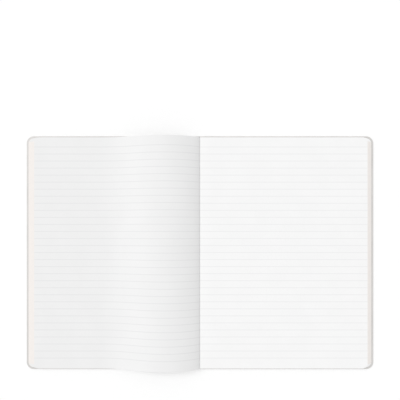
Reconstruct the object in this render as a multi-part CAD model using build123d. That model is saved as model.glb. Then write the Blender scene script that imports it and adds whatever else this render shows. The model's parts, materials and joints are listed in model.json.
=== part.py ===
from build123d import *
import os
from math import pi

# A sewn, case-bound ruled notebook, lying open in the middle. Millimetres, +Z up.
# X runs across the two pages, Y towards the head of the page, and Z up from the table.
# The origin is on the table, under the gutter, midway between head and tail.

# ---------------------------------------------------------------- driving dimensions
leaf_width = 169.5          # trimmed width of the block, from its spine to its fore-edge
page_height = 230.0         # trimmed height of the block, from head to tail
leaf_thickness = 0.1
leaf_gap = 0.008            # air between two leaves that lie on each other
signature_gap = 0.04        # extra air between two signatures
gutter_gap = 0.02           # air between the middle leaf of each side and the gutter plane
page_corner_radius = 5.5

signatures_per_side = 3
sheets_per_signature = 4

gutter_radius = 0.3         # bend of a leaf where it comes up from the spine and lies flat

arch_height = 7.5           # how far the top leaf on the left stands above its flat level
arch_low_share = 0.45       # the same for the lowest left leaf, as a share of arch_height
arch_peak = 34.0            # distance of the crest from the gutter
arch_end = 97.0             # distance at which the left leaves lie flat again
rise_handle = 0.12          # how upright the leaves start, as a share of their rise
crest_handle = 20.0         # how broad the crest is, towards the gutter
fall_handle = 26.0          # how broad the crest and the foot are on the far slope

cover_overhang = 2.2        # square: the cover's edge outside the block
cover_corner_radius = 7.0
wrap_thickness = 0.25       # covering material
board_thickness = 0.8
endpaper_thickness = 0.12
turn_in = 15.0              # covering material folded over the edges of the boards
hinge_gap = 0.15            # air on each side of a hinge line
board_setback = 1.0         # from the hinge line to the edge of the board
window_clearance = 0.05     # endpaper inside the window that the turn-ins leave

liner_thickness = 0.4       # stiffener of the spine
mull_thickness = 0.2        # gauze on the back of the block
thread_diameter = 0.25
thread_stations = 6
thread_end_margin = 12.0    # first and last stitch from the head and the tail
thread_side_margin = 0.3    # stitch ends inside the edge of the glue

# ---------------------------------------------------------------- sizes that follow
leaf_pitch = leaf_thickness + leaf_gap
leaves_per_signature = 2 * sheets_per_signature
leaves_per_side = signatures_per_side * leaves_per_signature


def leaf_level(number):
    """Height of a leaf's middle above the cover, counted from the cover."""
    signatures_below = number // leaves_per_signature
    return leaf_gap + leaf_thickness / 2 + number * leaf_pitch + signatures_below * signature_gap


block_half = leaf_level(leaves_per_side - 1) + leaf_thickness / 2 + gutter_gap
cover_reach = block_half + leaf_width + cover_overhang
cover_height = page_height + 2 * cover_overhang
skin_top = 2 * wrap_thickness + board_thickness
pastedown_top = skin_top + endpaper_thickness
cover_top = pastedown_top + leaf_gap + endpaper_thickness
hinge_near = block_half + hinge_gap
spine_half = block_half - hinge_gap
window_end = cover_reach - turn_in
window_height = cover_height - 2 * turn_in

os.makedirs("parts", exist_ok=True)


def save(shape, name):
    shape.label = name
    export_step(shape, "parts/" + name + ".step")


def block(x_low, x_high, depth, z_low, z_high):
    """A plain block, centred on the Y axis."""
    size_x = x_high - x_low
    size_z = z_high - z_low
    return Pos((x_low + x_high) / 2, 0, (z_low + z_high) / 2) * Box(size_x, depth, size_z)


def rounded_slab(x_low, x_high, depth, radius, z_low, z_high):
    """A slab whose two corners on the far side are rounded."""
    slab = block(x_low, x_high, depth, z_low, z_high)
    corners = slab.edges().filter_by(Axis.Z).group_by(Axis.X)[-1]
    return fillet(corners, radius)


# ---------------------------------------------------------------- case
def cover_board():
    return rounded_slab(
        block_half + board_setback,
        cover_reach - wrap_thickness,
        cover_height - 2 * wrap_thickness,
        cover_corner_radius - wrap_thickness,
        wrap_thickness,
        wrap_thickness + board_thickness,
    )


def cover_wrap():
    """Covering material: the outside, the edges and the turned-in border of one board."""
    wrap = rounded_slab(hinge_near, cover_reach, cover_height, cover_corner_radius, 0, skin_top)
    pocket = rounded_slab(
        0,
        cover_reach - wrap_thickness,
        cover_height - 2 * wrap_thickness,
        cover_corner_radius - wrap_thickness,
        wrap_thickness,
        wrap_thickness + board_thickness,
    )
    window = block(0, window_end, window_height, wrap_thickness, 2 * skin_top)
    return wrap - pocket - window


def cover_endpaper():
    """One folded sheet: the half pasted to the board and the free half that lies on it."""
    far = block_half + leaf_width
    floor = wrap_thickness + board_thickness
    pasted = rounded_slab(hinge_near, far, page_height, page_corner_radius, skin_top, pastedown_top)
    pan_end = window_end - window_clearance
    pan_height = window_height - 2 * window_clearance
    pan = block(hinge_near, pan_end, pan_height, floor, pastedown_top)
    hollow = block(
        hinge_near + endpaper_thickness,
        pan_end - endpaper_thickness,
        pan_height - 2 * endpaper_thickness,
        floor + endpaper_thickness,
        2 * cover_top,
    )
    fold = block(hinge_near, hinge_near + endpaper_thickness, page_height, skin_top, cover_top)
    free_half = rounded_slab(
        hinge_near, far, page_height, page_corner_radius, pastedown_top + leaf_gap, cover_top
    )
    return (pasted + pan - hollow) + fold + free_half


cover_pieces = {"board": cover_board(), "wrap": cover_wrap(), "endpaper": cover_endpaper()}
for piece_name, piece in cover_pieces.items():
    save(piece, "back_" + piece_name)
    save(mirror(piece, about=Plane.YZ), "front_" + piece_name)

# ---------------------------------------------------------------- spine
liner_top = wrap_thickness + liner_thickness
spine_skin_top = liner_top + wrap_thickness
mull_top = spine_skin_top + mull_thickness
liner_depth = cover_height - 2 * wrap_thickness

spine_liner = block(-spine_half, spine_half, liner_depth, wrap_thickness, liner_top)
spine_wrap = block(-spine_half, spine_half, cover_height, 0, spine_skin_top)
spine_wrap -= block(-block_half, block_half, liner_depth, wrap_thickness, liner_top)
spine_wrap -= block(-block_half, block_half, window_height, wrap_thickness, 2 * spine_skin_top)
mull = block(-spine_half, spine_half, page_height, spine_skin_top, mull_top)

stitch_length = 2 * (spine_half - thread_side_margin)
stitch_level = (mull_top + cover_top) / 2
station_span = page_height - 2 * thread_end_margin
stitches = []
for station in range(thread_stations):
    station_y = -station_span / 2 + station * station_span / (thread_stations - 1)
    stitch = Rotation(0, 90, 0) * Cylinder(thread_diameter / 2, stitch_length)
    stitches.append(Pos(0, station_y, stitch_level) * stitch)
sewing_thread = Compound(children=stitches)

spine_glue = block(-spine_half, spine_half, page_height, mull_top, cover_top)
for stitch in stitches:
    spine_glue -= stitch

save(spine_liner, "spine_liner")
save(spine_wrap, "spine_wrap")
save(mull, "mull")
save(spine_glue, "spine_glue")
save(sewing_thread, "sewing_thread")


# ---------------------------------------------------------------- leaves
# An outline is drawn for the right-hand side: its first coordinate is the distance from the
# gutter and its second the height above the cover. "side" is +1 on the face of the leaf that
# looks away from the cover and -1 on the face that looks towards it.
half_leaf = leaf_thickness / 2


bend_start = (leaf_level(sheets_per_signature - 1) + leaf_level(sheets_per_signature) + leaf_thickness) / 2


def bend_radius(level):
    """Bend of a leaf's middle at the top of its riser, wider from leaf to leaf up to a limit."""
    return min(gutter_radius, max(0, level - bend_start))


def flat_end(level):
    """Where the fore-edge of a flat leaf comes, with the same paper length for every leaf."""
    saved = (2 - pi / 2) * bend_radius(level)
    return block_half - level + leaf_width - level + saved


def flat_face(level, fold_level, side, fold_offset):
    """One face of a flat leaf, from the bottom of the fold to the fore-edge."""
    bend = bend_radius(level) + side * half_leaf
    foot = (block_half - level - side * half_leaf, fold_level + fold_offset)
    corner = (foot[0], level + side * half_leaf)
    end = (flat_end(level), corner[1])
    if abs(corner[1] - foot[1]) < leaf_gap / 2:
        return [Line(foot, end)]
    if bend < leaf_gap:
        return [Line(foot, corner), Line(corner, end)]
    riser_top = (corner[0], corner[1] - bend)
    bend_end = (corner[0] + bend, corner[1])
    arc = RadiusArc(riser_top, bend_end, bend)
    return [Line(foot, riser_top), arc, Line(bend_end, end)]


def arch_rise(level):
    return arch_height * (arch_low_share + (1 - arch_low_share) * level / block_half)


def arched_curves(level, side, start_z):
    """The rise and the fall of one face of an arched leaf; side 0 is its middle."""
    foot_x = block_half - level - side * half_leaf
    crest_z = level + arch_rise(level) + side * half_leaf
    flat_z = level + side * half_leaf
    rise = Bezier(
        (foot_x, start_z),
        (foot_x, level + rise_handle * arch_rise(level)),
        (arch_peak - crest_handle, crest_z),
        (arch_peak, crest_z),
    )
    fall = Bezier(
        (arch_peak, crest_z),
        (arch_peak + fall_handle, crest_z),
        (arch_end - fall_handle, flat_z),
        (arch_end, flat_z),
    )
    return rise, fall


def arched_end(level):
    """Where the fore-edge of an arched leaf comes, with the same paper length."""
    rise, fall = arched_curves(level, 0, level)
    paper_left = leaf_width - level - rise.length - fall.length
    return arch_end + paper_left


def arched_face(level, fold_level, side, fold_offset):
    """One face of an arched leaf, from the bottom of the fold to the fore-edge."""
    foot = (block_half - level - side * half_leaf, fold_level + fold_offset)
    has_riser = level - fold_level > leaf_gap / 2
    start_z = level if has_riser else foot[1]
    riser = [Line(foot, (foot[0], level))] if has_riser else []
    rise, fall = arched_curves(level, side, start_z)
    flat_z = level + side * half_leaf
    return riser + [rise, fall, Line((arch_end, flat_z), (arched_end(level), flat_z))]


def paper(edges):
    """Extrudes a closed outline over the page height and rounds the fore-edge corners."""
    outline = Wire.combine(edges)[0]
    section = Plane.XZ * make_face(outline)
    sheet = extrude(section, amount=page_height / 2, both=True)
    upright = sheet.edges().filter_by(Axis.Z)
    corners = [edge for edge in upright if edge.center().X > leaf_width / 2]
    return fillet(corners, page_corner_radius)


def folded_sheet(low, high, fold_level, face):
    """A sheet folded in half: a lower and an upper leaf that join at the spine."""
    outside = face(high, fold_level, 1, -half_leaf)
    inside = face(high, fold_level, -1, half_leaf)
    under = face(low, fold_level, -1, -half_leaf)
    over = face(low, fold_level, 1, half_leaf)
    edges = outside + inside + under + over
    edges.append(Line(outside[-1] @ 1, inside[-1] @ 1))
    edges.append(Line(under[-1] @ 1, over[-1] @ 1))
    edges.append(Line(outside[0] @ 0, under[0] @ 0))
    edges.append(Line(inside[0] @ 0, over[0] @ 0))
    return Pos(0, 0, cover_top) * paper(edges)


def cut_sheet(low, high, fold_level):
    """The middle sheet on the right, whose upper leaf is cut free above its riser."""
    riser_top = high - gutter_radius - leaf_thickness
    x_out = block_half - high - half_leaf
    x_in = block_half - high + half_leaf
    under = flat_face(low, fold_level, -1, -half_leaf)
    over = flat_face(low, fold_level, 1, half_leaf)
    bottom = fold_level - half_leaf
    edges = under + over
    edges.append(Line(under[-1] @ 1, over[-1] @ 1))
    edges.append(Line(under[0] @ 0, (x_out, bottom)))
    edges.append(Line((x_out, bottom), (x_out, riser_top)))
    edges.append(Line((x_out, riser_top), (x_in, riser_top)))
    edges.append(Line((x_in, riser_top), (x_in, fold_level + half_leaf)))
    edges.append(Line((x_in, fold_level + half_leaf), over[0] @ 0))
    return Pos(0, 0, cover_top) * paper(edges)


def free_leaf(level, fold_level):
    """The upper leaf of that sheet, from just above its riser to its fore-edge."""
    foot = level - gutter_radius - fold_level - half_leaf
    outside = flat_face(level, fold_level, 1, foot)
    inside = flat_face(level, fold_level, -1, foot)
    edges = outside + inside
    edges.append(Line(outside[-1] @ 1, inside[-1] @ 1))
    edges.append(Line(outside[0] @ 0, inside[0] @ 0))
    return Pos(0, 0, cover_top) * paper(edges)


last_signature = 2 * signatures_per_side
for order in range(signatures_per_side):
    first_leaf = order * leaves_per_signature
    for nest in range(sheets_per_signature):
        low = leaf_level(first_leaf + nest)
        high = leaf_level(first_leaf + leaves_per_signature - 1 - nest)
        fold_level = leaf_level(nest)
        left_sheet = mirror(folded_sheet(low, high, fold_level, arched_face), about=Plane.YZ)
        save(left_sheet, f"signature_{order + 1}_sheet_{nest + 1}")
        right_name = f"signature_{last_signature - order}_sheet_{nest + 1}"
        if order == signatures_per_side - 1 and nest == 0:
            save(cut_sheet(low, high, fold_level), right_name)
            save(free_leaf(high, fold_level), "turning_leaf")
        else:
            save(folded_sheet(low, high, fold_level, flat_face), right_name)

# ---------------------------------------------------------------- hinge places
top_level = leaf_level(leaves_per_side - 1)
left_fan = arched_end(leaf_level(0)) - arched_end(top_level)
right_fan = flat_end(leaf_level(0)) - flat_end(top_level)
print("cover hinge: x", round(block_half, 4), "z", round(cover_top, 4))
for order in range(signatures_per_side):
    first_leaf = order * leaves_per_signature
    middle = (leaf_level(first_leaf) + leaf_level(first_leaf + leaves_per_signature - 1)) / 2
    left_rise = middle * left_fan / (2 * block_half)
    right_rise = middle * right_fan / (2 * block_half)
    print("signature", order + 1, "hinge: x", round(left_rise - block_half, 4),
          "z", round(cover_top + left_rise, 4))
    print("signature", last_signature - order, "hinge: x", round(block_half - right_rise, 4),
          "z", round(cover_top + right_rise, 4))
print("turning leaf hinge: x", round(block_half - top_level, 4), "z", round(cover_top + top_level, 4))
print("top leaf ends: left", round(arched_end(top_level), 3),
      "right", round(flat_end(top_level), 3), "cover reach", round(cover_reach, 3))
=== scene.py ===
import json
import math
import random

import bmesh
import bpy
from bpy.props import FloatProperty, FloatVectorProperty, IntProperty, PointerProperty
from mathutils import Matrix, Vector
from mathutils.geometry import interpolate_bezier


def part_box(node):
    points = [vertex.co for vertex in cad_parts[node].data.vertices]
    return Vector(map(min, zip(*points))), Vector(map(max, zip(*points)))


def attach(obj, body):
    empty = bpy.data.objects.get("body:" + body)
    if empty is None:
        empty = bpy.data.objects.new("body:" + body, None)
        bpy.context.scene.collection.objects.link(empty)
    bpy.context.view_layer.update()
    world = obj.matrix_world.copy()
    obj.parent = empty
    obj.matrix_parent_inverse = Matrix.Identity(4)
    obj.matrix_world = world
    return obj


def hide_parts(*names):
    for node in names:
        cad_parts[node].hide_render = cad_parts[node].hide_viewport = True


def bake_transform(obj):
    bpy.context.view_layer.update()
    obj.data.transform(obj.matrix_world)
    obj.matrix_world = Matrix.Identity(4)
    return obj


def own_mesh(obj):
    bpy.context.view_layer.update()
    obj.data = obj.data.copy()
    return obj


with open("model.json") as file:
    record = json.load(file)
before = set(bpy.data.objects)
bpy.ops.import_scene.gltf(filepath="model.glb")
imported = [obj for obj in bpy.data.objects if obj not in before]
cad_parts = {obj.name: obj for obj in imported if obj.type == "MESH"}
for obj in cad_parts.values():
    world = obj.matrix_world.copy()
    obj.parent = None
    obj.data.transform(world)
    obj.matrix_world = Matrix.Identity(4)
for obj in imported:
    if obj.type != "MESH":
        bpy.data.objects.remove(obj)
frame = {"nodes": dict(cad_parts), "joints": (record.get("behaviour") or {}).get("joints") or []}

bl_info = {
    "name": "Bound Notebook",
    "version": (1, 0, 0),
    "blender": (4, 5, 0),
    "location": "View3D > Sidebar > Notebook",
    "description": "Makes the paper, the covering and the setting of an open, sewn notebook",
    "category": "Object",
}

MM = 0.001
SIGNATURES = 6
SHEETS = 4
LEFT_SIGNATURES = (1, 2, 3)
RIGHT_SIGNATURES = (4, 5, 6)

# How finely the paper and the covering are divided.
EDGE_BAND = 0.1 * MM
FLAT_SPACING = 12 * MM
PAGE_STRIPS = 6
PAGE_CORNER_STEPS = 7
ARCH_STEPS = 30
BEND_STEPS = 6
CREASE_ANGLE = math.radians(50)
COVER_CREASE_ANGLE = math.radians(60)

# ---------------------------------------------------------------- measures taken from the frame
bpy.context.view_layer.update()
JOINTS = {joint["name"]: joint for joint in frame["joints"]}
HINGE = Vector(JOINTS["close"]["pos_m"])
BLOCK_HALF = HINGE.x
COVER_TOP = HINGE.z
PAGE_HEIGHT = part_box("turning_leaf")[1].y * 2
LEAF_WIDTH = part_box("back_endpaper")[1].x - BLOCK_HALF
LEAF_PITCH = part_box("signature_6_sheet_1")[1].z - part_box("signature_6_sheet_2")[1].z
LEAF_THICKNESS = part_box("signature_6_sheet_4")[1].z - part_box("signature_6_sheet_4")[0].z - LEAF_PITCH
COVER_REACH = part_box("back_wrap")[1].x
COVER_HALF_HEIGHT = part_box("back_wrap")[1].y
SKIN_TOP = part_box("back_wrap")[1].z
SPINE_SKIN_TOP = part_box("spine_wrap")[1].z
WRAP_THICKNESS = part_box("back_board")[0].z
HINGE_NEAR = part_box("back_wrap")[0].x


def upper_level(signature, number):
    """Height of the middle of a sheet's upper leaf where it lies flat."""
    right = max(signature, SIGNATURES + 1 - signature)
    node = f"signature_{right}_sheet_{number}"
    if (right, number) == (RIGHT_SIGNATURES[0], 1):
        node = "turning_leaf"
    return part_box(node)[1].z - LEAF_THICKNESS / 2


def lower_level(signature, number):
    """Height of the middle of a sheet's lower leaf where it lies flat."""
    return upper_level(signature, number) - (2 * (SHEETS - number) + 1) * LEAF_PITCH


def fold_level(number):
    """Height of the middle of a sheet's fold."""
    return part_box(f"signature_6_sheet_{number}")[0].z + LEAF_THICKNESS / 2


def crest_level(level):
    """Height of an arched leaf's crest, from the crests of the highest and a low left sheet."""
    high = upper_level(3, 1)
    low = upper_level(1, 1)
    high_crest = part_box("signature_3_sheet_1")[1].z - LEAF_THICKNESS / 2
    low_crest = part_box("signature_1_sheet_1")[1].z - LEAF_THICKNESS / 2
    return low_crest + (level - low) * (high_crest - low_crest) / (high - low)


# ---------------------------------------------------------------- what a user may change
class NotebookSizes(bpy.types.PropertyGroup):
    page_corner: FloatProperty(
        name="Page corner", description="Radius of the leaves' rounded corners",
        default=5.5 * MM, min=0.5 * MM, unit="LENGTH", precision=4)
    cover_corner: FloatProperty(
        name="Cover corner", description="Radius of the cover's rounded corners",
        default=7.0 * MM, min=1.0 * MM, unit="LENGTH", precision=4)
    cover_edge: FloatProperty(
        name="Cover edge", description="Radius at which the covering turns over the board",
        default=0.6 * MM, min=0.1 * MM, unit="LENGTH", precision=5)
    turn_in: FloatProperty(
        name="Turn-in", description="Covering folded over the inside of the board",
        default=15.0 * MM, min=5.0 * MM, unit="LENGTH", precision=4)
    hinge_bend: FloatProperty(
        name="Hinge bend", description="Half width of the strip of covering that bends at a hinge",
        default=1.2 * MM, min=0.2 * MM, unit="LENGTH", precision=5)
    endpaper_thickness: FloatProperty(
        name="Endpaper", description="Thickness of the endpapers",
        default=0.12 * MM, min=0.05 * MM, unit="LENGTH", precision=5)
    gutter_bend: FloatProperty(
        name="Gutter bend", description="Radius at which the right leaves lie over from the spine",
        default=0.3 * MM, min=0.1 * MM, unit="LENGTH", precision=5)
    arch_peak: FloatProperty(
        name="Arch crest", description="Distance of the left arch's crest from the gutter",
        default=34.0 * MM, min=10.0 * MM, unit="LENGTH", precision=4)
    arch_end: FloatProperty(
        name="Arch end", description="Distance from the gutter at which the left leaves lie flat again",
        default=97.0 * MM, min=40.0 * MM, unit="LENGTH", precision=4)
    rise_share: FloatProperty(
        name="Upright start", description="How upright the left leaves start, as a share of their rise",
        default=0.12, min=0.02, max=0.9, subtype="FACTOR")
    crest_handle: FloatProperty(
        name="Crest towards gutter", description="How broad the crest is on the gutter's side",
        default=20.0 * MM, min=5.0 * MM, unit="LENGTH", precision=4)
    fall_handle: FloatProperty(
        name="Far slope", description="How broad the crest and the foot are on the far slope",
        default=26.0 * MM, min=5.0 * MM, unit="LENGTH", precision=4)
    rule_pitch: FloatProperty(
        name="Rule pitch", description="Distance between two ruled lines",
        default=7.0 * MM, min=4.0 * MM, unit="LENGTH", precision=4)
    rule_width: FloatProperty(
        name="Rule width", description="Thickness of a ruled line",
        default=0.8 * MM, min=0.1 * MM, unit="LENGTH", precision=5)
    head_margin: FloatProperty(
        name="Head margin", description="From the head of the page to its first ruled line",
        default=9.6 * MM, min=0.0, unit="LENGTH", precision=4)
    rule_count: IntProperty(
        name="Rules", description="Ruled lines on a page", default=31, min=1)
    turn_curl: FloatProperty(
        name="Turn curl", description="Length of the leaf at the gutter that curls as it is turned",
        default=14.0 * MM, min=4.0 * MM, unit="LENGTH", precision=4)


class NotebookColours(bpy.types.PropertyGroup):
    # Painted shade: the left pile is the same paper as the right pile, given a darker colour to stand in for
    # the dimmer light on the left pages.
    left_paper_painted_shade: FloatVectorProperty(
        name="Left paper", description="Paper of the left pile, toned a little by what lies behind",
        default=(0.775, 0.775, 0.775), size=3, min=0.0, max=1.0, subtype="COLOR")
    right_paper: FloatVectorProperty(
        name="Right paper", description="Paper of the right pile",
        default=(0.83, 0.83, 0.83), size=3, min=0.0, max=1.0, subtype="COLOR")
    rule: FloatVectorProperty(
        name="Rule", description="Pale ink of the ruled lines, as it tones the paper",
        default=(0.925, 0.925, 0.93), size=3, min=0.0, max=1.0, subtype="COLOR")
    fore_edge: FloatVectorProperty(
        name="Fore-edge", description="Tone of the trimmed edges of the leaves",
        default=(0.80, 0.765, 0.74), size=3, min=0.0, max=1.0, subtype="COLOR")
    endpaper: FloatVectorProperty(
        name="Endpaper", description="Warm white of the endpapers",
        default=(0.82, 0.785, 0.76), size=3, min=0.0, max=1.0, subtype="COLOR")
    cover: FloatVectorProperty(
        name="Covering", description="Light warm grey of the covering",
        default=(0.60, 0.585, 0.57), size=3, min=0.0, max=1.0, subtype="COLOR")
    board: FloatVectorProperty(
        name="Board", description="Grey board inside the covers",
        default=(0.27, 0.23, 0.18), size=3, min=0.0, max=1.0, subtype="COLOR")
    gauze: FloatVectorProperty(
        name="Gauze", description="Threads of the gauze on the back of the block",
        default=(0.74, 0.69, 0.58), size=3, min=0.0, max=1.0, subtype="COLOR")
    glue: FloatVectorProperty(
        name="Adhesive", description="Dried adhesive on the back of the block",
        default=(0.78, 0.74, 0.62), size=3, min=0.0, max=1.0, subtype="COLOR")
    thread: FloatVectorProperty(
        name="Thread", description="Waxed sewing thread",
        default=(0.84, 0.82, 0.78), size=3, min=0.0, max=1.0, subtype="COLOR")


# ---------------------------------------------------------------- shader helpers
def link(tree, source, target):
    tree.links.new(source, target)


def add_node(tree, kind, settings=None, **inputs):
    """A node with its settings and its input values; a socket given as a value is linked."""
    node = tree.nodes.new(kind)
    for key, value in (settings or {}).items():
        setattr(node, key, value)
    for key, value in inputs.items():
        socket = node.inputs[int(key[1:])] if key[0] == "i" and key[1:].isdigit() else node.inputs[key]
        if isinstance(value, bpy.types.NodeSocket):
            link(tree, value, socket)
        else:
            socket.default_value = value
    return node


def calculate(tree, operation, first, second=0.0):
    return add_node(tree, "ShaderNodeMath", {"operation": operation}, i0=first, i1=second).outputs[0]


def map_range(tree, value, low, high, to_low, to_high):
    node = add_node(tree, "ShaderNodeMapRange", {"interpolation_type": "SMOOTHSTEP"}, Value=value)
    ends = {"From Min": low, "From Max": high, "To Min": to_low, "To Max": to_high}
    for name, end in ends.items():
        if isinstance(end, bpy.types.NodeSocket):
            link(tree, end, node.inputs[name])
        else:
            node.inputs[name].default_value = end
    return node.outputs["Result"]


def mix_colour(tree, factor, first, second):
    node = add_node(tree, "ShaderNodeMix", {"data_type": "RGBA"})
    for socket, value in ((node.inputs[0], factor), (node.inputs[6], first), (node.inputs[7], second)):
        if isinstance(value, bpy.types.NodeSocket):
            link(tree, value, socket)
        else:
            socket.default_value = value
    return node.outputs[2]


def opaque(colour):
    return (colour[0], colour[1], colour[2], 1.0)


def shaded(colour, factor):
    return (colour[0] * factor, colour[1] * factor, colour[2] * factor, 1.0)


def new_group(name, inputs, outputs):
    """A shader node group with named value inputs and outputs."""
    tree = bpy.data.node_groups.new(name, "ShaderNodeTree")
    for label, default in inputs.items():
        socket = tree.interface.new_socket(name=label, in_out="INPUT", socket_type="NodeSocketFloat")
        socket.default_value = default
    for label in outputs:
        tree.interface.new_socket(name=label, in_out="OUTPUT", socket_type="NodeSocketFloat")
    return tree, tree.nodes.new("NodeGroupInput").outputs, tree.nodes.new("NodeGroupOutput").inputs


def place_group(tree, group, **inputs):
    node = tree.nodes.new("ShaderNodeGroup")
    node.node_tree = group
    for label, value in inputs.items():
        node.inputs[label.replace("_", " ")].default_value = value
    return node.outputs


def page_place(tree):
    """The place on a leaf: its distance from the fore-edge, and its height on the page."""
    attribute = add_node(tree, "ShaderNodeAttribute", {"attribute_name": "page_place"})
    return add_node(tree, "ShaderNodeSeparateXYZ", Vector=attribute.outputs["Vector"]).outputs


def ruling_group():
    """Ruled lines across the page, at an even pitch below the head margin."""
    name = "page_ruling"
    if name in bpy.data.node_groups:
        return bpy.data.node_groups[name]
    inputs = {"Pitch": 0.007, "Line Width": 0.0003, "First Line": 0.1, "Lines": 31.0}
    tree, given, made = new_group(name, inputs, ["Mask"])
    from_first = calculate(tree, "SUBTRACT", given["First Line"], page_place(tree)[1])
    steps = calculate(tree, "DIVIDE", from_first, given["Pitch"])
    nearest = calculate(tree, "ROUND", steps)
    apart = calculate(tree, "ABSOLUTE", calculate(tree, "SUBTRACT", steps, nearest))
    distance = calculate(tree, "MULTIPLY", apart, given["Pitch"])
    inner = calculate(tree, "MULTIPLY", given["Line Width"], 0.3)
    outer = calculate(tree, "MULTIPLY", given["Line Width"], 0.7)
    line = map_range(tree, distance, inner, outer, 1.0, 0.0)
    after_first = calculate(tree, "GREATER_THAN", nearest, -0.5)
    last = calculate(tree, "SUBTRACT", given["Lines"], 0.5)
    before_last = calculate(tree, "LESS_THAN", nearest, last)
    on_page = calculate(tree, "MULTIPLY", after_first, before_last)
    link(tree, calculate(tree, "MULTIPLY", line, on_page), made["Mask"])
    return tree


def fore_edge_group():
    """The trimmed margin of a sheet of paper, as a mask that fades inwards."""
    name = "trimmed_edge"
    if name in bpy.data.node_groups:
        return bpy.data.node_groups[name]
    tree, given, made = new_group(name, {"Width": 0.0004}, ["Mask"])
    inner = calculate(tree, "MULTIPLY", given["Width"], 0.5)
    link(tree, map_range(tree, page_place(tree)[0], inner, given["Width"], 1.0, 0.0), made["Mask"])
    return tree


def fibre_group():
    """Cloudy tone and fine tooth of paper."""
    name = "paper_fibre"
    if name in bpy.data.node_groups:
        return bpy.data.node_groups[name]
    inputs = {"Cloud Scale": 60.0, "Fibre Scale": 2500.0}
    tree, given, made = new_group(name, inputs, ["Tone", "Tooth"])
    where = tree.nodes.new("ShaderNodeTexCoord").outputs["Object"]
    cloud = add_node(tree, "ShaderNodeTexNoise", Vector=where, Scale=given["Cloud Scale"], Detail=3.0)
    link(tree, cloud.outputs[0], made["Tone"])
    stretched = add_node(tree, "ShaderNodeVectorMath", {"operation": "MULTIPLY"}, i0=where, i1=(1, 0.4, 1))
    fibre = add_node(
        tree, "ShaderNodeTexNoise", Vector=stretched.outputs[0], Scale=given["Fibre Scale"], Detail=4.0)
    link(tree, fibre.outputs[0], made["Tooth"])
    return tree


def blank_material(name, roughness):
    material = bpy.data.materials.new(name)
    material.use_nodes = True
    tree = material.node_tree
    surface = tree.nodes["Principled BSDF"]
    surface.inputs["Roughness"].default_value = roughness
    return material, tree, surface


def bump(tree, surface, height, strength, distance):
    node = add_node(tree, "ShaderNodeBump", Strength=strength, Distance=distance, Height=height)
    link(tree, node.outputs[0], surface.inputs["Normal"])


def paper_base(tree, colour, cloud_scale, depth):
    """Paper colour with a faint cloudy tone; also gives the tooth."""
    fibre = place_group(tree, fibre_group(), Cloud_Scale=cloud_scale)
    cloudy = map_range(tree, fibre["Tone"], 0.35, 0.65, 0.0, 1.0)
    base = mix_colour(tree, cloudy, shaded(colour, 1.0 - depth), opaque(colour))
    return base, fibre["Tooth"]


def leaf_material(name, colour, sizes, colours):
    material, tree, surface = blank_material(name, 0.75)
    surface.inputs["Specular IOR Level"].default_value = 0.25
    base, tooth = paper_base(tree, colour, 45.0, 0.012)
    rules = place_group(
        tree, ruling_group(), Pitch=sizes.rule_pitch, Line_Width=sizes.rule_width,
        First_Line=PAGE_HEIGHT / 2 - sizes.head_margin, Lines=float(sizes.rule_count))
    ink = [paper * tone for paper, tone in zip(colour, colours.rule)]
    ruled = mix_colour(tree, rules["Mask"], base, opaque(ink))
    edge = place_group(tree, fore_edge_group(), Width=0.45 * MM)
    link(tree, mix_colour(tree, edge["Mask"], ruled, opaque(colours.fore_edge)), surface.inputs["Base Color"])
    bump(tree, surface, tooth, 0.12, 0.00003)
    return material


def endpaper_material(colours):
    material, tree, surface = blank_material("endpaper_stock", 0.7)
    surface.inputs["Specular IOR Level"].default_value = 0.25
    base, tooth = paper_base(tree, colours.endpaper, 30.0, 0.03)
    edge = place_group(tree, fore_edge_group(), Width=0.3 * MM)
    worn = mix_colour(tree, edge["Mask"], base, shaded(colours.endpaper, 0.94))
    link(tree, worn, surface.inputs["Base Color"])
    bump(tree, surface, tooth, 0.2, 0.00005)
    return material


def cover_material(colours):
    """Matt leatherette: a fine pebbled grain with painted shade in its valleys, a soft mottle, and rubbed
    edges.
    """
    material, tree, surface = blank_material("cover_leatherette", 0.55)
    where = tree.nodes.new("ShaderNodeTexCoord").outputs["Object"]
    mottle = add_node(tree, "ShaderNodeTexNoise", Vector=where, Scale=38.0, Detail=5.0)
    mottled = map_range(tree, mottle.outputs[0], 0.35, 0.65, 0.0, 1.0)
    base = mix_colour(tree, mottled, shaded(colours.cover, 0.95), shaded(colours.cover, 1.03))
    pebble = add_node(
        tree, "ShaderNodeTexVoronoi", {"feature": "SMOOTH_F1"}, Vector=where, Scale=1500.0)
    crease = add_node(
        tree, "ShaderNodeTexVoronoi", {"feature": "DISTANCE_TO_EDGE"}, Vector=where, Scale=1500.0)
    # Painted shade: the valleys between the pebbles of the grain are darkened in the colour.
    valley = map_range(tree, crease.outputs["Distance"], 0.0, 0.12, 1.0, 0.0)
    shadowed = calculate(tree, "MULTIPLY", valley, 0.35)
    grain_with_painted_shade = mix_colour(tree, shadowed, base, shaded(colours.cover, 0.82))
    rim = add_node(tree, "ShaderNodeAttribute", {"attribute_name": "rubbed"}).outputs["Fac"]
    patchy = add_node(tree, "ShaderNodeTexNoise", Vector=where, Scale=220.0, Detail=4.0)
    worn = calculate(tree, "MULTIPLY", rim, map_range(tree, patchy.outputs[0], 0.4, 0.6, 0.2, 0.8))
    link(tree, mix_colour(tree, worn, grain_with_painted_shade, shaded(colours.cover, 1.1)), surface.inputs["Base Color"])
    link(tree, map_range(tree, worn, 0.0, 1.0, 0.58, 0.42), surface.inputs["Roughness"])
    height = calculate(tree, "SUBTRACT", pebble.outputs["Distance"], calculate(tree, "MULTIPLY", valley, 0.3))
    bump(tree, surface, height, 0.35, 0.00008)
    return material


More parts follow.
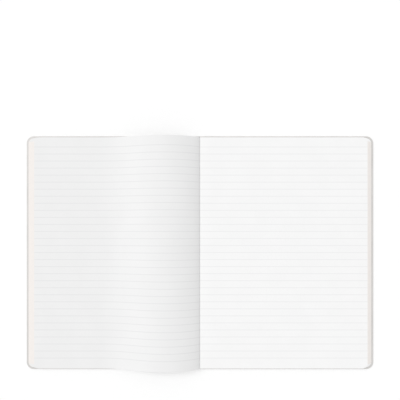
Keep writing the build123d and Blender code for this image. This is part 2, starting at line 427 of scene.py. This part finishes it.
def board_material(colours):
    """Grey board: pressed pulp with darker flecks."""
    material, tree, surface = blank_material("grey_board", 0.9)
    where = tree.nodes.new("ShaderNodeTexCoord").outputs["Object"]
    pulp = add_node(tree, "ShaderNodeTexNoise", Vector=where, Scale=900.0, Detail=6.0)
    fleck = map_range(tree, pulp.outputs[0], 0.55, 0.7, 0.0, 1.0)
    link(tree, mix_colour(tree, fleck, opaque(colours.board), shaded(colours.board, 0.6)),
         surface.inputs["Base Color"])
    bump(tree, surface, pulp.outputs[0], 0.4, 0.00008)
    return material


def gauze_material(colours):
    """Open plain weave over adhesive."""
    material, tree, surface = blank_material("spine_gauze", 0.85)
    where = tree.nodes.new("ShaderNodeTexCoord").outputs["Object"]
    waves = []
    for direction in ("X", "Y"):
        wave = add_node(
            tree, "ShaderNodeTexWave", {"bands_direction": direction},
            Vector=where, Scale=300.0, Distortion=0.4)
        waves.append(map_range(tree, wave.outputs["Fac"], 0.45, 0.75, 0.0, 1.0))
    weave = calculate(tree, "MAXIMUM", waves[0], waves[1])
    cloth = mix_colour(tree, weave, opaque(colours.glue), opaque(colours.gauze))
    link(tree, cloth, surface.inputs["Base Color"])
    bump(tree, surface, weave, 0.6, 0.0001)
    return material


def glue_material(colours):
    material, tree, surface = blank_material("dried_adhesive", 0.4)
    where = tree.nodes.new("ShaderNodeTexCoord").outputs["Object"]
    brushed = add_node(tree, "ShaderNodeTexNoise", Vector=where, Scale=160.0, Detail=3.0)
    link(tree, mix_colour(tree, brushed.outputs[0], opaque(colours.glue), shaded(colours.glue, 0.85)),
         surface.inputs["Base Color"])
    bump(tree, surface, brushed.outputs[0], 0.5, 0.0001)
    return material


def thread_material(colours):
    """Waxed thread, with its twist as slanted bands, their darker parts painted shade between the turns."""
    material, tree, surface = blank_material("waxed_thread", 0.5)
    where = tree.nodes.new("ShaderNodeTexCoord").outputs["Object"]
    twist = add_node(
        tree, "ShaderNodeTexWave", {"bands_direction": "DIAGONAL"},
        Vector=where, Scale=900.0, Distortion=0.6)
    # Painted shade: the thread's colour is darkened between the turns of its twist.
    link(tree, mix_colour(tree, twist.outputs["Fac"], shaded(colours.thread, 0.8), opaque(colours.thread)),
         surface.inputs["Base Color"])
    bump(tree, surface, twist.outputs["Fac"], 0.5, 0.00005)
    return material


def give(piece, material):
    """The piece shows this material only."""
    piece.data.materials.clear()
    piece.data.materials.append(material)


# ---------------------------------------------------------------- paper
def corner_stations(radius):
    """(distance from the fore-edge, loss of half height) round a rounded corner, outermost last."""
    stations = []
    for step in range(PAGE_CORNER_STEPS, -1, -1):
        angle = math.radians(90 * step / PAGE_CORNER_STEPS)
        stations.append((radius * (1 - math.cos(angle)), radius * (1 - math.sin(angle))))
    return stations


def lay_flat(points, end, level, corner):
    """Adds stations from the last point to the fore-edge, closer together round the corner."""
    start = points[-1][0]
    straight = end - corner - start
    steps = max(2, round(straight / FLAT_SPACING))
    for step in range(1, steps):
        points.append((start + straight * step / steps, level, 0.0))
    for inside, loss in corner_stations(corner):
        points.append((end - inside, level, loss))
    return points


def flat_leaf(level, fold, sizes):
    """Stations (distance from the gutter, height, loss of half height) of a leaf on the right."""
    rise = level - COVER_TOP
    foot = BLOCK_HALF - rise
    bend_start = (lower_level(6, SHEETS) + upper_level(6, SHEETS) + LEAF_THICKNESS) / 2
    bend = min(sizes.gutter_bend, max(0.0, level - bend_start))
    end = foot + LEAF_WIDTH - rise + (2 - math.pi / 2) * bend
    points = [(foot, fold, 0.0)]
    if level - fold > LEAF_THICKNESS:
        if bend > LEAF_THICKNESS / 2:
            for step in range(BEND_STEPS + 1):
                angle = math.radians(90 * step / BEND_STEPS)
                across = foot + bend * (1 - math.cos(angle))
                points.append((across, level - bend * (1 - math.sin(angle)), 0.0))
        else:
            points.append((foot, level, 0.0))
    return lay_flat(points, end, level, sizes.page_corner)


def arched_leaf(level, fold, sizes, lift):
    """The same for a leaf on the left, which arches up out of the gutter to its crest and a lift."""
    foot = BLOCK_HALF - (level - COVER_TOP)
    crest = crest_level(level) + lift
    upright = level + sizes.rise_share * (crest - level)
    rise = interpolate_bezier(
        Vector((foot, level)), Vector((foot, upright)),
        Vector((sizes.arch_peak - sizes.crest_handle, crest)), Vector((sizes.arch_peak, crest)), ARCH_STEPS)
    fall = interpolate_bezier(
        Vector((sizes.arch_peak, crest)), Vector((sizes.arch_peak + sizes.fall_handle, crest)),
        Vector((sizes.arch_end - sizes.fall_handle, level)), Vector((sizes.arch_end, level)), ARCH_STEPS)
    line = list(rise) + list(fall)[1:]
    if level - fold > LEAF_THICKNESS:
        line.insert(0, Vector((foot, fold)))
    run = sum((b - a).length for a, b in zip(line, line[1:]))
    end = sizes.arch_end + LEAF_WIDTH - (fold - COVER_TOP) - run
    points = [(point.x, point.y, 0.0) for point in line]
    return lay_flat(points, end, level, sizes.page_corner)


def endpaper_stations(sizes):
    """The endpaper: the pasted half inwards to the hinge, round the fold, and the free half out."""
    half = sizes.endpaper_thickness / 2
    free = COVER_TOP - half
    pasted = SKIN_TOP + half
    fold = (free - pasted) / 2
    end = BLOCK_HALF + LEAF_WIDTH
    outwards = lay_flat([(HINGE_NEAR + half + fold, free, 0.0)], end, free, sizes.page_corner)
    inwards = [(across, pasted, loss) for across, height, loss in reversed(outwards)]
    turn = []
    for step in range(1, BEND_STEPS):
        angle = math.radians(180 * step / BEND_STEPS)
        turn.append((inwards[-1][0] - fold * math.sin(angle), pasted + fold * (1 - math.cos(angle)), 0.0))
    return inwards + turn + outwards


def paper_sheet(name, stations, side, thickness, fore_edges, beyond=0.0):
    """A sheet of paper along the stations, for the right (side 1) or the left (side -1).

    The attribute page_place holds each point's distance along the paper from the fore-edge and
    its height on the page. fore_edges is 1, or 2 where both ends of the paper are fore-edges, and
    beyond is the length of paper from the last station to the fore-edge. The thickness is added
    by a modifier on top of the shaped sheet, so a leaf stays as thick as it is.
    """
    along = [0.0]
    for first, second in zip(stations, stations[1:]):
        along.append(along[-1] + math.dist(first[:2], second[:2]))
    made = bmesh.new()
    places = []
    lines = []
    for (across, height, loss), so_far in zip(stations, along):
        reach = PAGE_HEIGHT / 2 - loss
        from_edge = along[-1] - so_far + beyond
        if fore_edges == 2:
            from_edge = min(from_edge, so_far)
        inner = reach - EDGE_BAND
        between = [inner * (2 * step / PAGE_STRIPS - 1) for step in range(PAGE_STRIPS + 1)]
        heights = [-reach] + between + [reach]
        lines.append([made.verts.new((side * across, y, height)) for y in heights])
        places.extend((from_edge, y, 0.0) for y in heights)
    smooth = []
    for number, (first, second) in enumerate(zip(lines, lines[1:])):
        for step in range(PAGE_STRIPS + 2):
            corners = (first[step], second[step], second[step + 1], first[step + 1])
            made.faces.new(corners[::side])
            smooth.append(0 < step <= PAGE_STRIPS and number < len(lines) - 2)
    mesh = bpy.data.meshes.new(name)
    made.to_mesh(mesh)
    made.free()
    attribute = mesh.attributes.new("page_place", "FLOAT_VECTOR", "POINT")
    attribute.data.foreach_set("vector", [number for place in places for number in place])
    mesh.set_sharp_from_angle(angle=CREASE_ANGLE)
    # The outermost strips are shaded flat, so that the cut edges stay crisp.
    mesh.polygons.foreach_set("use_smooth", smooth)
    piece = bpy.data.objects.new(name, mesh)
    bpy.context.scene.collection.objects.link(piece)
    thick = piece.modifiers.new("paper_thickness", "SOLIDIFY")
    thick.thickness = thickness
    thick.offset = 0
    thick.use_even_offset = True
    return piece


# ---------------------------------------------------------------- covering
def cover_outline(inset, sizes):
    """Outline of one cover at an inset, from the spine's middle round by the head to the tail.

    Also gives the number of points along the head before the rounded corner.
    """
    hinge_steps = 12
    board_steps = 10
    corner_steps = 8
    smallest_radius = 0.4 * MM
    reach = COVER_REACH - inset
    half = COVER_HALF_HEIGHT - inset
    radius = max(sizes.cover_corner - inset, smallest_radius)
    bend = sizes.hinge_bend
    edge = [0.0]
    for step in range(hinge_steps + 1):
        edge.append(BLOCK_HALF - bend + 2 * bend * step / hinge_steps)
    last = edge[-1]
    for step in range(1, board_steps + 1):
        edge.append(last + (reach - radius - last) * step / board_steps)
    head = [(x, half) for x in edge]
    turn = []
    for step in range(1, corner_steps + 1):
        angle = math.radians(90 * step / corner_steps)
        turn.append((reach - radius + radius * math.sin(angle), half - radius + radius * math.cos(angle)))
    first_half = head + turn
    tail = [(x, -y) for x, y in reversed(first_half)]
    return first_half + tail, len(edge)


def cover_rings(sizes):
    """(inset, face, distance from that face, rubbed) of the section: turn-in, edge and underside."""
    radius = sizes.cover_edge
    flat_margin = 2.4 * MM
    rubbed_margin = 1.2 * MM
    turns = 5
    rings = [(sizes.turn_in, "top", 0.0, 0.0)]
    rings.append((flat_margin, "top", 0.0, 0.0))
    rings.append((rubbed_margin, "top", 0.0, 0.1))
    for step in range(turns + 1):
        angle = math.radians(90 * step / turns)
        inset = radius * (1 - math.sin(angle))
        rings.append((inset, "top", radius * (1 - math.cos(angle)), 0.3 + 0.7 * math.sin(angle)))
    for step in range(turns + 1):
        angle = math.radians(90 * step / turns)
        inset = radius * (1 - math.cos(angle))
        rings.append((inset, "bottom", radius * (1 - math.sin(angle)), 0.3 + 0.7 * math.cos(angle)))
    rings.append((rubbed_margin, "bottom", 0.0, 0.1))
    rings.append((sizes.turn_in, "bottom", 0.0, 0.0))
    return rings


def cover_skin(name, side, sizes):
    """Covering of one board and half of the spine, one sheet turned in over the board's edges."""
    made = bmesh.new()
    rubbed = []
    rings = []
    for inset, face, away, wear in cover_rings(sizes):
        outline, edge_count = cover_outline(inset, sizes)
        ring = []
        for x, y in outline:
            over_board = min(max((x - BLOCK_HALF) / (2 * (HINGE_NEAR - BLOCK_HALF)) + 0.5, 0.0), 1.0)
            top = SPINE_SKIN_TOP + (SKIN_TOP - SPINE_SKIN_TOP) * over_board
            rounding = away * top / SKIN_TOP
            height = top - rounding if face == "top" else rounding
            ring.append(made.verts.new((side * x, y, height)))
            rubbed.append(wear)
        rings.append(ring)
    for first, second in zip(rings, rings[1:]):
        for number in range(len(first) - 1):
            made.faces.new((first[number], first[number + 1], second[number + 1], second[number]))
    under = rings[-1]
    count = len(under)
    for number in range(edge_count - 1):
        made.faces.new((under[number], under[number + 1],
                        under[count - 2 - number], under[count - 1 - number]))
    made.faces.new(under[edge_count - 1:count - edge_count + 1])
    if side < 0:
        bmesh.ops.reverse_faces(made, faces=made.faces)
    mesh = bpy.data.meshes.new(name)
    made.to_mesh(mesh)
    made.free()
    attribute = mesh.attributes.new("rubbed", "FLOAT", "POINT")
    attribute.data.foreach_set("value", rubbed)
    mesh.shade_smooth()
    mesh.set_sharp_from_angle(angle=COVER_CREASE_ANGLE)
    piece = bpy.data.objects.new(name, mesh)
    bpy.context.scene.collection.objects.link(piece)
    thick = piece.modifiers.new("covering_thickness", "SOLIDIFY")
    thick.thickness = WRAP_THICKNESS
    thick.offset = -1
    thick.use_even_offset = True
    return piece


# ---------------------------------------------------------------- operators
class NOTEBOOK_OT_stage(bpy.types.Operator):
    """Makes the camera, the floor and the light"""
    bl_idname = "notebook.stage"
    bl_label = "Stage"

    def execute(self, context):
        make_camera()
        make_floor()
        make_light()
        return {"FINISHED"}


class NOTEBOOK_OT_covers(bpy.types.Operator):
    """Makes the covering of both boards and the spine"""
    bl_idname = "notebook.covers"
    bl_label = "Covers"

    def execute(self, context):
        sizes = context.scene.notebook_sizes
        material = cover_material(context.scene.notebook_colours)
        for body, side, nodes in (("back", 1, ("back_wrap", "spine_wrap")), ("front", -1, ("front_wrap",))):
            skin = cover_skin(body + "_covering", side, sizes)
            give(skin, material)
            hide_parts(*nodes)
            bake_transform(skin)
        return {"FINISHED"}


class NOTEBOOK_OT_endpapers(bpy.types.Operator):
    """Makes the two folded endpapers"""
    bl_idname = "notebook.endpapers"
    bl_label = "Endpapers"

    def execute(self, context):
        sizes = context.scene.notebook_sizes
        material = endpaper_material(context.scene.notebook_colours)
        for body, side in (("back", 1), ("front", -1)):
            paper = paper_sheet(body + "_endpaper_sheet", endpaper_stations(sizes), side,
                                sizes.endpaper_thickness, 2)
            give(paper, material)
            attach(paper, body + "_cover")
            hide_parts(body + "_endpaper")
        return {"FINISHED"}


class NOTEBOOK_OT_left_leaves(bpy.types.Operator):
    """Makes the arched leaves of the left pile"""
    bl_idname = "notebook.left_leaves"
    bl_label = "Left leaves"

    def execute(self, context):
        sizes = context.scene.notebook_sizes
        colours = context.scene.notebook_colours
        # The left pile's paper is darker than the right pile's as painted shade.
        material = leaf_material("left_leaf_paper_painted_shade", colours.left_paper_painted_shade, sizes, colours)
        chance = random.Random(4)
        for signature in LEFT_SIGNATURES:
            for number in range(1, SHEETS + 1):
                node = f"signature_{signature}_sheet_{number}"
                levels = {"lower": lower_level(signature, number), "upper": upper_level(signature, number)}
                for which, level in levels.items():
                    lift = -0.05 * MM * chance.random()
                    stations = arched_leaf(level, fold_level(number), sizes, lift)
                    leaf = paper_sheet(f"{node}_{which}_leaf", stations, -1, LEAF_THICKNESS, 1)
                    give(leaf, material)
                    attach(leaf, f"signature_{signature}")
                    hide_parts(node)
                    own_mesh(leaf)
        return {"FINISHED"}


class NOTEBOOK_OT_right_leaves(bpy.types.Operator):
    """Makes the flat leaves of the right pile, and the leaf that turns"""
    bl_idname = "notebook.right_leaves"
    bl_label = "Right leaves"

    def execute(self, context):
        sizes = context.scene.notebook_sizes
        colours = context.scene.notebook_colours
        material = leaf_material("right_leaf_paper", colours.right_paper, sizes, colours)
        for signature in RIGHT_SIGNATURES:
            for number in range(1, SHEETS + 1):
                node = f"signature_{signature}_sheet_{number}"
                levels = {"lower": lower_level(signature, number), "upper": upper_level(signature, number)}
                for which, level in levels.items():
                    turning = (signature, number, which) == (RIGHT_SIGNATURES[0], 1, "upper")
                    stations = flat_leaf(level, fold_level(number), sizes)
                    if turning:
                        make_turning_page(stations, node, material)
                        continue
                    leaf = paper_sheet(f"{node}_{which}_leaf", stations, 1, LEAF_THICKNESS, 1)
                    give(leaf, material)
                    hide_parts(node)
                    if level - fold_level(number) > LEAF_THICKNESS:
                        bend_leaf_at_spine(leaf)
                    else:
                        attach(leaf, f"signature_{signature}")
        return {"FINISHED"}


def make_turning_page(stations, node, material):
    """The leaf that turns, and the strip below it that stays with the spine."""
    riser = paper_sheet(f"{node}_riser", stations[:2], 1, LEAF_THICKNESS, 1, beyond=LEAF_WIDTH)
    give(riser, material)
    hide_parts(node)
    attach(riser, "spine")
    page = paper_sheet("turning_page", stations[1:], 1, LEAF_THICKNESS, 1)
    give(page, material)
    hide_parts("turning_leaf")
    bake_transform(page)


def bend_leaf_at_spine(leaf):
    """Bakes the leaf's transform into its mesh; nothing ties its foot to the spine or the rest to its
    signature.
    """
    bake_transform(leaf)


class NOTEBOOK_OT_inner_works(bpy.types.Operator):
    """Gives the boards, the liner, the gauze, the adhesive and the thread their finish"""
    bl_idname = "notebook.inner_works"
    bl_label = "Inner works"

    def execute(self, context):
        colours = context.scene.notebook_colours
        board = board_material(colours)
        finishes = {
            "back_board": board, "front_board": board, "spine_liner": board,
            "mull": gauze_material(colours), "spine_glue": glue_material(colours),
            "sewing_thread": thread_material(colours),
        }
        for node, material in finishes.items():
            give_slots(frame["nodes"][node], material)
        return {"FINISHED"}


def give_slots(node, material):
    """Every material slot of a node from the frame shows this material."""
    if not node.material_slots:
        node.data.materials.append(material)
    for material_slot in node.material_slots:
        material_slot.material = material


# ---------------------------------------------------------------- setting
def make_camera():
    """Straight above, a little towards the head of the page."""
    page_level = upper_level(4, 1)
    distance = 270 * MM
    view_width = 398 * MM
    camera_data = bpy.data.cameras.new("overhead_camera")
    camera_data.sensor_width = 36.0
    camera_data.lens = camera_data.sensor_width * distance / view_width
    camera_data.shift_y = 0.075
    camera_data.clip_start = 0.01
    camera = bpy.data.objects.new("overhead_camera", camera_data)
    camera.location = (0.1 * MM, 22.8 * MM, page_level + distance)
    bpy.context.scene.collection.objects.link(camera)
    bpy.context.scene.camera = camera


def make_floor():
    """A plain white table top."""
    half_width = 3.0
    made = bmesh.new()
    bmesh.ops.create_grid(made, x_segments=8, y_segments=8, size=half_width)
    mesh = bpy.data.meshes.new("table_top")
    made.to_mesh(mesh)
    made.free()
    floor = bpy.data.objects.new("table_top", mesh)
    bpy.context.scene.collection.objects.link(floor)
    material, tree, surface = blank_material("table_white", 0.9)
    surface.inputs["Base Color"].default_value = (0.895, 0.895, 0.895, 1.0)
    surface.inputs["Specular IOR Level"].default_value = 0.0
    give(floor, material)


def make_light():
    """A white room and one broad soft light above, from the left and a little from the head."""
    scene = bpy.context.scene
    scene.view_settings.view_transform = "Standard"
    world = bpy.data.worlds.new("white_room")
    scene.world = world
    world.use_nodes = True
    sky = world.node_tree.nodes["Background"]
    sky.inputs["Color"].default_value = (1.0, 1.0, 1.0, 1.0)
    sky.inputs["Strength"].default_value = 0.72
    light = bpy.data.lights.new("soft_key", "SUN")
    light.energy = 1.715
    light.angle = math.radians(45)
    lamp = bpy.data.objects.new("soft_key", light)
    lamp.location = (-0.8, 0.4, 1.0)
    lamp.rotation_euler = (Vector((0, 0, 0)) - lamp.location).to_track_quat("-Z", "Y").to_euler()
    scene.collection.objects.link(lamp)


class NOTEBOOK_PT_panel(bpy.types.Panel):
    bl_label = "Notebook"
    bl_idname = "NOTEBOOK_PT_panel"
    bl_space_type = "VIEW_3D"
    bl_region_type = "UI"
    bl_category = "Notebook"

    def draw(self, context):
        layout = self.layout
        for group in (context.scene.notebook_sizes, context.scene.notebook_colours):
            box = layout.box()
            for name in group.__annotations__:
                box.prop(group, name)
        for operator in OPERATORS:
            layout.operator(operator.bl_idname)


OPERATORS = (
    NOTEBOOK_OT_stage,
    NOTEBOOK_OT_covers,
    NOTEBOOK_OT_endpapers,
    NOTEBOOK_OT_left_leaves,
    NOTEBOOK_OT_right_leaves,
    NOTEBOOK_OT_inner_works,
)
CLASSES = (NotebookSizes, NotebookColours) + OPERATORS + (NOTEBOOK_PT_panel,)


def register():
    for item in CLASSES:
        bpy.utils.register_class(item)
    bpy.types.Scene.notebook_sizes = PointerProperty(type=NotebookSizes)
    bpy.types.Scene.notebook_colours = PointerProperty(type=NotebookColours)


def unregister():
    del bpy.types.Scene.notebook_colours
    del bpy.types.Scene.notebook_sizes
    for item in reversed(CLASSES):
        bpy.utils.unregister_class(item)


def main():
    register()
    bpy.ops.notebook.stage()
    bpy.ops.notebook.covers()
    bpy.ops.notebook.endpapers()
    bpy.ops.notebook.left_leaves()
    bpy.ops.notebook.right_leaves()
    bpy.ops.notebook.inner_works()


if __name__ == "__main__":
    main()
